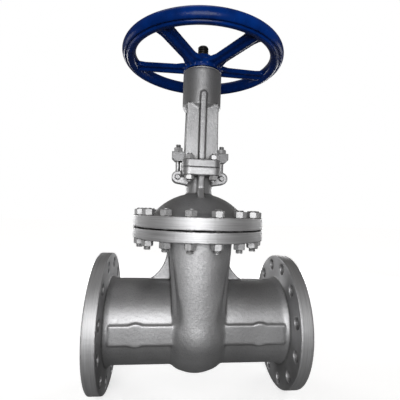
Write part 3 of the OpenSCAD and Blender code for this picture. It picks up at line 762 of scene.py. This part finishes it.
def crease_rim(mesh):
    """A groove round the underside of the wheel's rim, where the casting's halves met."""
    low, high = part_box("handwheel")
    circle = (high[0] - low[0]) / 2 - RIM_RADIUS
    level = high[2] - RIM_RADIUS
    points = points_of(mesh)
    x, y = points[:, 0] - STEM_X, points[:, 1]
    out = np.hypot(x, y)
    across, above = out - circle, points[:, 2] - level
    reach = np.hypot(across, above)
    angle = np.degrees(np.arctan2(-above, -across))
    on_rim = (reach > RIM_SKIN[0] * RIM_RADIUS) & (reach < RIM_SKIN[1] * RIM_RADIUS)
    depth = CREASE_DEPTH * np.exp(-((angle - CREASE_ANGLE) / CREASE_SPREAD) ** 2)
    scale = 1 - np.where(on_rim, depth, 0.0) / np.maximum(reach, TINY)
    stretch = (circle + across * scale) / np.maximum(out, TINY)
    points[:, 0] = STEM_X + x * stretch
    points[:, 1] = y * stretch
    points[:, 2] = level + above * scale
    mesh.vertices.foreach_set("co", points.ravel())
    soften(mesh, CREASE_ROUNDS, everywhere)


def make_handwheel():
    """Blue handwheel with its lock nut."""
    piece = casting("handwheel", "handwheel_casting", (18, everywhere), voxel=0.0012,
                    carve=crease_rim)
    piece.data.materials.append(BLUE)
    stand_for(piece, "handwheel_and_stem_nut", "blue_paint", "handwheel")
    nut = casting("handwheel_lock_nut", "lock_nut", (4, everywhere), voxel=0.0008)
    nut.data.materials.append(BLUE)
    stand_for(nut, "handwheel_and_stem_nut", "blue_paint", "handwheel_lock_nut")


# Fasteners

# Angles in degrees above which an edge is shaded as a crease
NUT_CREASE = 25
ROD_CREASE = 40

# Room between a nut and its stud, and how much thinner a rod is than its solid
NUT_ROOM = 0.0001
ROD_ROOM = 0.00005

# A hexagon looks the same after this turn
ONE_FACE = math.pi / 3

# Studs of the joint, with the threaded length at each end and the width of their nuts
STUD_COUNT = 16
STUD_RADIUS = 0.009
STUD_CIRCLE = 0.165
STUD_THREAD = 0.028
STUD_NUT_ACROSS = 0.027
JOINT_SEED = 3


def stood_nut(node, name, across, stud_radius):
    """A nut as high as the node and at its height, on the Z axis."""
    base = low_of(node)
    mesh = hex_nut_mesh(name, across, high_of(node) - base, stud_radius + NUT_ROOM)
    mesh.transform(Matrix.Translation((0, 0, base)))
    return mesh


def make_joint_fasteners():
    """Studs round the joint of the body and the bonnet, with a nut at each end."""
    half_step = math.pi / STUD_COUNT
    for number, side in enumerate(("upper", "lower")):
        node = "bonnet_nuts_" + side
        nut = stood_nut(node, node + "_one", STUD_NUT_ACROSS, STUD_RADIUS)
        piece = on_circle("joint_nuts_" + side, nut, STUD_COUNT, STUD_CIRCLE, half_step, FASTENER,
                          ONE_FACE, number + JOINT_SEED)
        sharpen(piece, NUT_CREASE)
        stand_for(piece, "valve_body", "painted_fasteners", node)
    low, high = low_of("bonnet_studs"), high_of("bonnet_studs")
    spans = ((low, low + STUD_THREAD), (high - STUD_THREAD, high))
    stud = threaded_rod_mesh("stud_one", STUD_RADIUS - ROD_ROOM, spans, low, high,
                             depth=0.0012, lead=0.0025, tip=0.0012, segments=20, per_turn=4)
    piece = on_circle("joint_studs", stud, STUD_COUNT, STUD_CIRCLE, half_step, FASTENER)
    sharpen(piece, ROD_CREASE)
    stand_for(piece, "valve_body", "painted_fasteners", "bonnet_studs")


# Studs of the yoke, likewise
YOKE_STUD_RADIUS = 0.007
YOKE_STUD_THREAD = 0.02
YOKE_NUT_ACROSS = 0.022


def make_yoke_fasteners():
    """Studs through the yoke's flange, with a nut at each end."""
    low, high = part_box("yoke_nuts_upper")
    reach_x = (high[0] - low[0]) / 2 - YOKE_NUT_ACROSS / 2
    reach_y = (high[1] - low[1]) / 2 - YOKE_NUT_ACROSS / math.sqrt(3)
    radius = math.hypot(reach_x, reach_y)
    angle = math.atan2(reach_y, reach_x)

    def four(name, make, node, seed):
        """Two pairs of copies on one circle, since the four stand on an oblong."""
        pairs = []
        for i, first in enumerate((angle, -angle)):
            mesh = make("%s_mesh_%d" % (name, i))
            pairs.append(on_circle("%s_%d" % (name, i), mesh, 2, radius, first, FASTENER,
                                   ONE_FACE, seed + i))
        whole = joined(name, pairs)
        sharpen(whole, NUT_CREASE)
        stand_for(whole, "valve_body", "painted_fasteners", node)

    for number, end in enumerate(("lower", "upper")):
        node = "yoke_nuts_" + end

        def nut(name):
            return stood_nut(node, name, YOKE_NUT_ACROSS, YOKE_STUD_RADIUS)

        four("yoke_stud_nuts_" + end, nut, node, 2 * number)

    bottom, top = low_of("yoke_studs"), high_of("yoke_studs")
    spans = ((bottom, bottom + YOKE_STUD_THREAD), (top - YOKE_STUD_THREAD, top))

    def stud(name):
        return threaded_rod_mesh(name, YOKE_STUD_RADIUS - ROD_ROOM, spans, bottom, top,
                                 depth=0.0009, lead=0.002, tip=0.001, segments=20, per_turn=4)

    four("yoke_stud_set", stud, "yoke_studs", 0)


EYEBOLT_RADIUS = 0.007
EYEBOLT_THREAD = 0.045
EYE_HOLE = 0.00605
EYE_ROUNDING = 0.0022
# Share of the rounding that is cut off half way round a corner
EYE_MID_CORNER = 0.3
# Share of the eye's radius at which the rod starts, inside the ring
ROD_START = 0.75
EYE_SEGMENTS = 40


def make_gland_nuts():
    """The nut on each eyebolt, with a corner to the front."""
    for side in ("left", "right"):
        node = "gland_nut_" + side
        low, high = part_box(node)
        middle = centre_of(node)
        nut = stood_nut(node, node + "_mesh", high[0] - low[0], EYEBOLT_RADIUS)
        corner_to_front = Matrix.Rotation(ONE_FACE / 2, 4, "Z")
        nut.transform(Matrix.Translation((middle[0], middle[1], 0)) @ corner_to_front)
        piece = add_object(node + "_piece", nut, FASTENER)
        nut.shade_smooth()
        sharpen(piece, NUT_CREASE)
        stand_for(piece, side + "_gland_nut", "painted_fasteners", node)


def eye_profile(eye, half):
    """Radius and height round the section of an eye, with its corners rounded."""
    big, small = EYE_ROUNDING, EYE_MID_CORNER * EYE_ROUNDING
    lower = [(EYE_HOLE, -half + big), (EYE_HOLE + big, -half), (eye - big, -half),
             (eye - small, -half + small), (eye, -half + big)]
    return lower + [(radius, -height) for radius, height in reversed(lower)]


def make_eyebolts():
    """Eyebolts with a rounded eye and a threaded end through the gland's lug."""
    for side in ("left", "right"):
        node = "eyebolt_" + side
        low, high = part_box(node)
        middle_x = centre_of(node)[0]
        eye = (high[0] - low[0]) / 2
        pivot = low[2] + eye
        half = (high[1] - low[1]) / 2
        top = high[2]
        rod = threaded_rod_mesh(node + "_rod", EYEBOLT_RADIUS - ROD_ROOM, ((top - EYEBOLT_THREAD, top),),
                                pivot + ROD_START * eye, top,
                                depth=0.0009, lead=0.002, tip=0.0008, segments=24, per_turn=6)
        rod.transform(Matrix.Translation((middle_x, 0, 0)))
        rows = [ring_points(always(radius), always(height), EYE_SEGMENTS)
                for radius, height in eye_profile(eye, half)]
        ring = ring_mesh(node + "_eye", rows, EYE_SEGMENTS)
        lying = Matrix.Rotation(math.pi / 2, 4, "X")
        ring.transform(Matrix.Translation((middle_x, 0, pivot)) @ lying)
        # The eyebolt takes the cast paint darkened as painted shade
        parts = [add_object(node + "_a", rod, CAST_PAINTED_SHADE), add_object(node + "_b", ring)]
        piece = joined(node + "_piece", parts)
        sharpen(piece, ROD_CREASE)
        stand_for(piece, side + "_eyebolt", "painted_fasteners", node)


STEM_RADIUS = 0.015
# Height at which the solid is cut off and the threaded bar starts, and the plain length of that bar
THREAD_FROM = 0.45
PLAIN_LENGTH = 0.03
STEM_TIP = 0.002


def make_stem():
    """Stem with its left-hand trapezoidal thread above the packing, on the plain solid below."""
    high = high_of("stem")
    below = merged_copy("stem", "stem_foot")
    work = bmesh.new()
    work.from_mesh(below.data)
    geometry = list(work.verts) + list(work.edges) + list(work.faces)
    cut = bmesh.ops.bisect_plane(work, geom=geometry, plane_co=(0, 0, THREAD_FROM), plane_no=(0, 0, 1),
                                 clear_outer=True)
    edges = [part for part in cut["geom_cut"] if isinstance(part, bmesh.types.BMEdge)]
    bmesh.ops.edgeloop_fill(work, edges=edges)
    bmesh.ops.recalc_face_normals(work, faces=work.faces)
    work.to_mesh(below.data)
    work.free()
    below.data.materials.append(GREASE)
    span = (THREAD_FROM + PLAIN_LENGTH, high - STEM_TIP)
    rod = threaded_rod_mesh("stem_thread", STEM_RADIUS, (span,), THREAD_FROM, high,
                            depth=0.0032, lead=0.006, tip=STEM_TIP, segments=40, per_turn=12)
    rod.transform(Matrix.Translation((STEM_X, 0, 0)))
    piece = joined("threaded_stem", [below, add_object("stem_rod", rod)])
    sharpen(piece, ROD_CREASE)
    stand_for(piece, "stem_and_wedge", "greased_steel", "stem")


# Floor, light and camera

FLOOR_SIZE = 12.0
FLOOR_GAP = 0.0005
# Paleness of the floor as a source of bounced light and as the camera sees it
PAPER_FOR_LIGHT = 0.10
PAPER_FOR_CAMERA = 0.8
# Estimate of the lamps' light on the floor: under the valve, far off, and how far and how fast it falls
# off. The floor glows for the camera with what is missing to white.
LIT_NEAR = 0.46
LIT_FAR = 0.10
LIT_REACH = 1.6
LIT_FALL = 4.0
# Share of the floor's white and of the backdrop's white that mirrored rays see
MIRRORED_FLOOR = 0.04
MIRRORED_BACKDROP = 0.15

ROOM_COLOUR = (1.0, 0.93, 0.87, 1.0)
ROOM_STRENGTH = 0.10
# Range of a direction's Y part over which mirrored rays start to see the backdrop
BACKDROP_RANGE = (0.55, 1.0)


def make_stage():
    """Pale floor that shows white to the camera, apart from the valve's soft shadow."""
    work = bmesh.new()
    bmesh.ops.create_grid(work, x_segments=1, y_segments=1, size=FLOOR_SIZE)
    bmesh.ops.translate(work, verts=work.verts, vec=(STEM_X, 0, FLOOR_Z - FLOOR_GAP))
    mesh = mesh_from(work, "floor")
    material = bpy.data.materials.new("pale_floor")
    material.use_nodes = True
    tree = material.node_tree
    tree.nodes.clear()
    add, calc, link = node_maker(tree), sum_maker(tree), tree.links.new

    path = add("ShaderNodeLightPath").outputs
    paper = add("ShaderNodeBsdfDiffuse")
    tone = add("ShaderNodeMapRange")
    tone.inputs["To Min"].default_value = PAPER_FOR_LIGHT
    tone.inputs["To Max"].default_value = PAPER_FOR_CAMERA
    link(path["Is Camera Ray"], tone.inputs["Value"])
    link(tone.outputs["Result"], paper.inputs["Color"])
    away = add("ShaderNodeVectorMath", operation="DISTANCE")
    link(add("ShaderNodeTexCoord").outputs["Object"], away.inputs[0])
    away.inputs[1].default_value = (STEM_X, 0, FLOOR_Z)
    reach = calc("POWER", calc("DIVIDE", away.outputs["Value"], LIT_REACH), LIT_FALL)
    lit = calc("ADD", calc("DIVIDE", LIT_NEAR, calc("ADD", reach, 1.0)), LIT_FAR)
    missing = calc("SUBTRACT", 1.0, calc("MULTIPLY", lit, PAPER_FOR_CAMERA))
    mirrored = calc("MULTIPLY", path["Is Glossy Ray"], MIRRORED_FLOOR)
    seen = calc("MAXIMUM", path["Is Camera Ray"], mirrored)
    glow = add("ShaderNodeEmission")
    link(calc("MULTIPLY", missing, seen), glow.inputs["Strength"])
    both = add("ShaderNodeAddShader")
    link(paper.outputs[0], both.inputs[0])
    link(glow.outputs[0], both.inputs[1])
    link(both.outputs[0], add("ShaderNodeOutputMaterial").inputs["Surface"])
    floor = add_object("floor", mesh, material)


def make_world():
    """White backdrop for the camera and, in part, for mirrored rays; a dim warm room for other light."""
    world = bpy.data.worlds.new("studio")
    bpy.context.scene.world = world
    world.use_nodes = True
    tree = world.node_tree
    tree.nodes.clear()
    add, calc, link = node_maker(tree), sum_maker(tree), tree.links.new

    path = add("ShaderNodeLightPath").outputs
    room = add("ShaderNodeBackground")
    room.inputs["Color"].default_value = ROOM_COLOUR
    room.inputs["Strength"].default_value = ROOM_STRENGTH
    white = add("ShaderNodeBackground")
    white.inputs["Color"].default_value = (1, 1, 1, 1)
    white.inputs["Strength"].default_value = 1.0
    split = add("ShaderNodeSeparateXYZ")
    link(add("ShaderNodeTexCoord").outputs["Generated"], split.inputs[0])
    backdrop = add("ShaderNodeMapRange", interpolation_type="SMOOTHSTEP")
    backdrop.inputs["From Min"].default_value = BACKDROP_RANGE[0]
    backdrop.inputs["From Max"].default_value = BACKDROP_RANGE[1]
    backdrop.inputs["To Max"].default_value = MIRRORED_BACKDROP
    link(split.outputs["Y"], backdrop.inputs["Value"])
    mirrored = calc("MAXIMUM", path["Is Glossy Ray"], path["Is Transmission Ray"])
    part = calc("MULTIPLY", mirrored, backdrop.outputs["Result"])
    blend = add("ShaderNodeMixShader")
    link(calc("MAXIMUM", path["Is Camera Ray"], part), blend.inputs["Fac"])
    link(room.outputs[0], blend.inputs[1])
    link(white.outputs[0], blend.inputs[2])
    link(blend.outputs[0], add("ShaderNodeOutputWorld").inputs["Surface"])


# Lamps: name, place from the stem axis, height aimed at on that axis, width in metres, power in watts
LAMPS = (
    ("key_light", (-0.25, -2.0, 0.48), 0.15, 1.3, 43),
    ("top_light", (-0.3, 0.3, 2.6), 0.2, 1.4, 4),
    ("back_inlet_light", (-1.2, 1.75, 0.45), 0.15, 0.8, 12),
    ("back_outlet_light", (1.2, 1.75, 0.45), 0.15, 0.8, 12),
    ("inlet_light", (-2.0, 0.8, 0.5), 0.1, 0.9, 5),
    ("outlet_light", (2.0, 0.8, 0.5), 0.1, 0.9, 5),
)


def make_lights():
    """Soft round lamps, each aimed at the stem axis."""
    for name, (from_stem, y, z), height, width, power in LAMPS:
        lamp = bpy.data.lights.new(name, "AREA")
        lamp.shape = "DISK"
        lamp.size = width
        lamp.energy = power
        thing = bpy.data.objects.new(name, lamp)
        bpy.context.scene.collection.objects.link(thing)
        place = Vector((STEM_X + from_stem, y, z))
        thing.location = place
        ahead = Vector((STEM_X, 0, height)) - place
        thing.rotation_euler = ahead.to_track_quat("-Z", "Y").to_euler()


# Camera of the photograph: place from the stem axis and the flow axis, and its turns in degrees
CAMERA_FROM_STEM = (-0.0864, -0.8832, 0.3129)
CAMERA_YAW = 6.12
CAMERA_PITCH = -0.80
CAMERA_ROLL = 1.81
CAMERA_LENS = 27.62
CAMERA_SENSOR = 36.0
CAMERA_SHIFT = (-0.0023, 0.0393)


def make_camera():
    """Camera at the photograph's place, with its angle of view and its roll."""
    yaw, pitch, roll = (math.radians(a) for a in (CAMERA_YAW, CAMERA_PITCH, CAMERA_ROLL))
    level = math.cos(pitch)
    ahead = Vector((math.sin(yaw) * level, math.cos(yaw) * level, math.sin(pitch)))
    right = Vector((math.cos(yaw), -math.sin(yaw), 0))
    up = right.cross(ahead)
    turned_right = right * math.cos(roll) + up * math.sin(roll)
    turned_up = up * math.cos(roll) - right * math.sin(roll)
    camera = bpy.data.cameras.new("camera")
    camera.sensor_width = CAMERA_SENSOR
    camera.lens = CAMERA_LENS
    camera.shift_x, camera.shift_y = CAMERA_SHIFT
    camera.clip_start = 0.01
    thing = bpy.data.objects.new("camera", camera)
    bpy.context.scene.collection.objects.link(thing)
    turn = Matrix((turned_right, turned_up, -ahead)).transposed().to_4x4()
    place = Vector(CAMERA_FROM_STEM) + Vector((STEM_X, 0, 0))
    thing.matrix_world = Matrix.Translation(place) @ turn
    bpy.context.scene.camera = thing


# Solids that show as they are, by finish
NODE_FINISH = {
    STEEL: ("seat_ring_inlet", "seat_ring_outlet", "wedge", "backseat_bush", "gland_follower",
            "handwheel_key", "lower_bearing_washer", "upper_bearing_washer", "lower_bearing_race",
            "upper_bearing_race", "lower_bearing_balls", "upper_bearing_balls"),
    BRONZE: ("stem_nut", "lower_bearing_cage", "upper_bearing_cage"),
    GRAPHITE: ("bonnet_gasket", "packing_ring_1", "packing_ring_2", "packing_ring_3",
               "packing_ring_4", "packing_ring_5"),
    # Bearing cap in the lighter turned paint, which is painted light
    TURNED_Z_PAINTED_LIGHT: ("bearing_cap",),
    # Pins in the cast paint darkened deeply as painted shade
    CAST_DEEP_PAINTED_SHADE: ("eyebolt_pin_left", "eyebolt_pin_right"),
}


def finish_nodes():
    """Procedural finishes on the solids that show as they are."""
    for finish, nodes in NODE_FINISH.items():
        for node in nodes:
            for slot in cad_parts[node].material_slots:
                slot.material = finish


finish_nodes()
make_body()
make_bonnet()
make_yoke()
make_gland_flange()
make_handwheel()
make_joint_fasteners()
make_yoke_fasteners()
make_gland_nuts()
make_eyebolts()
make_stem()
make_stage()
make_world()
make_lights()
make_camera()
bpy.context.scene.view_settings.view_transform = "Standard"
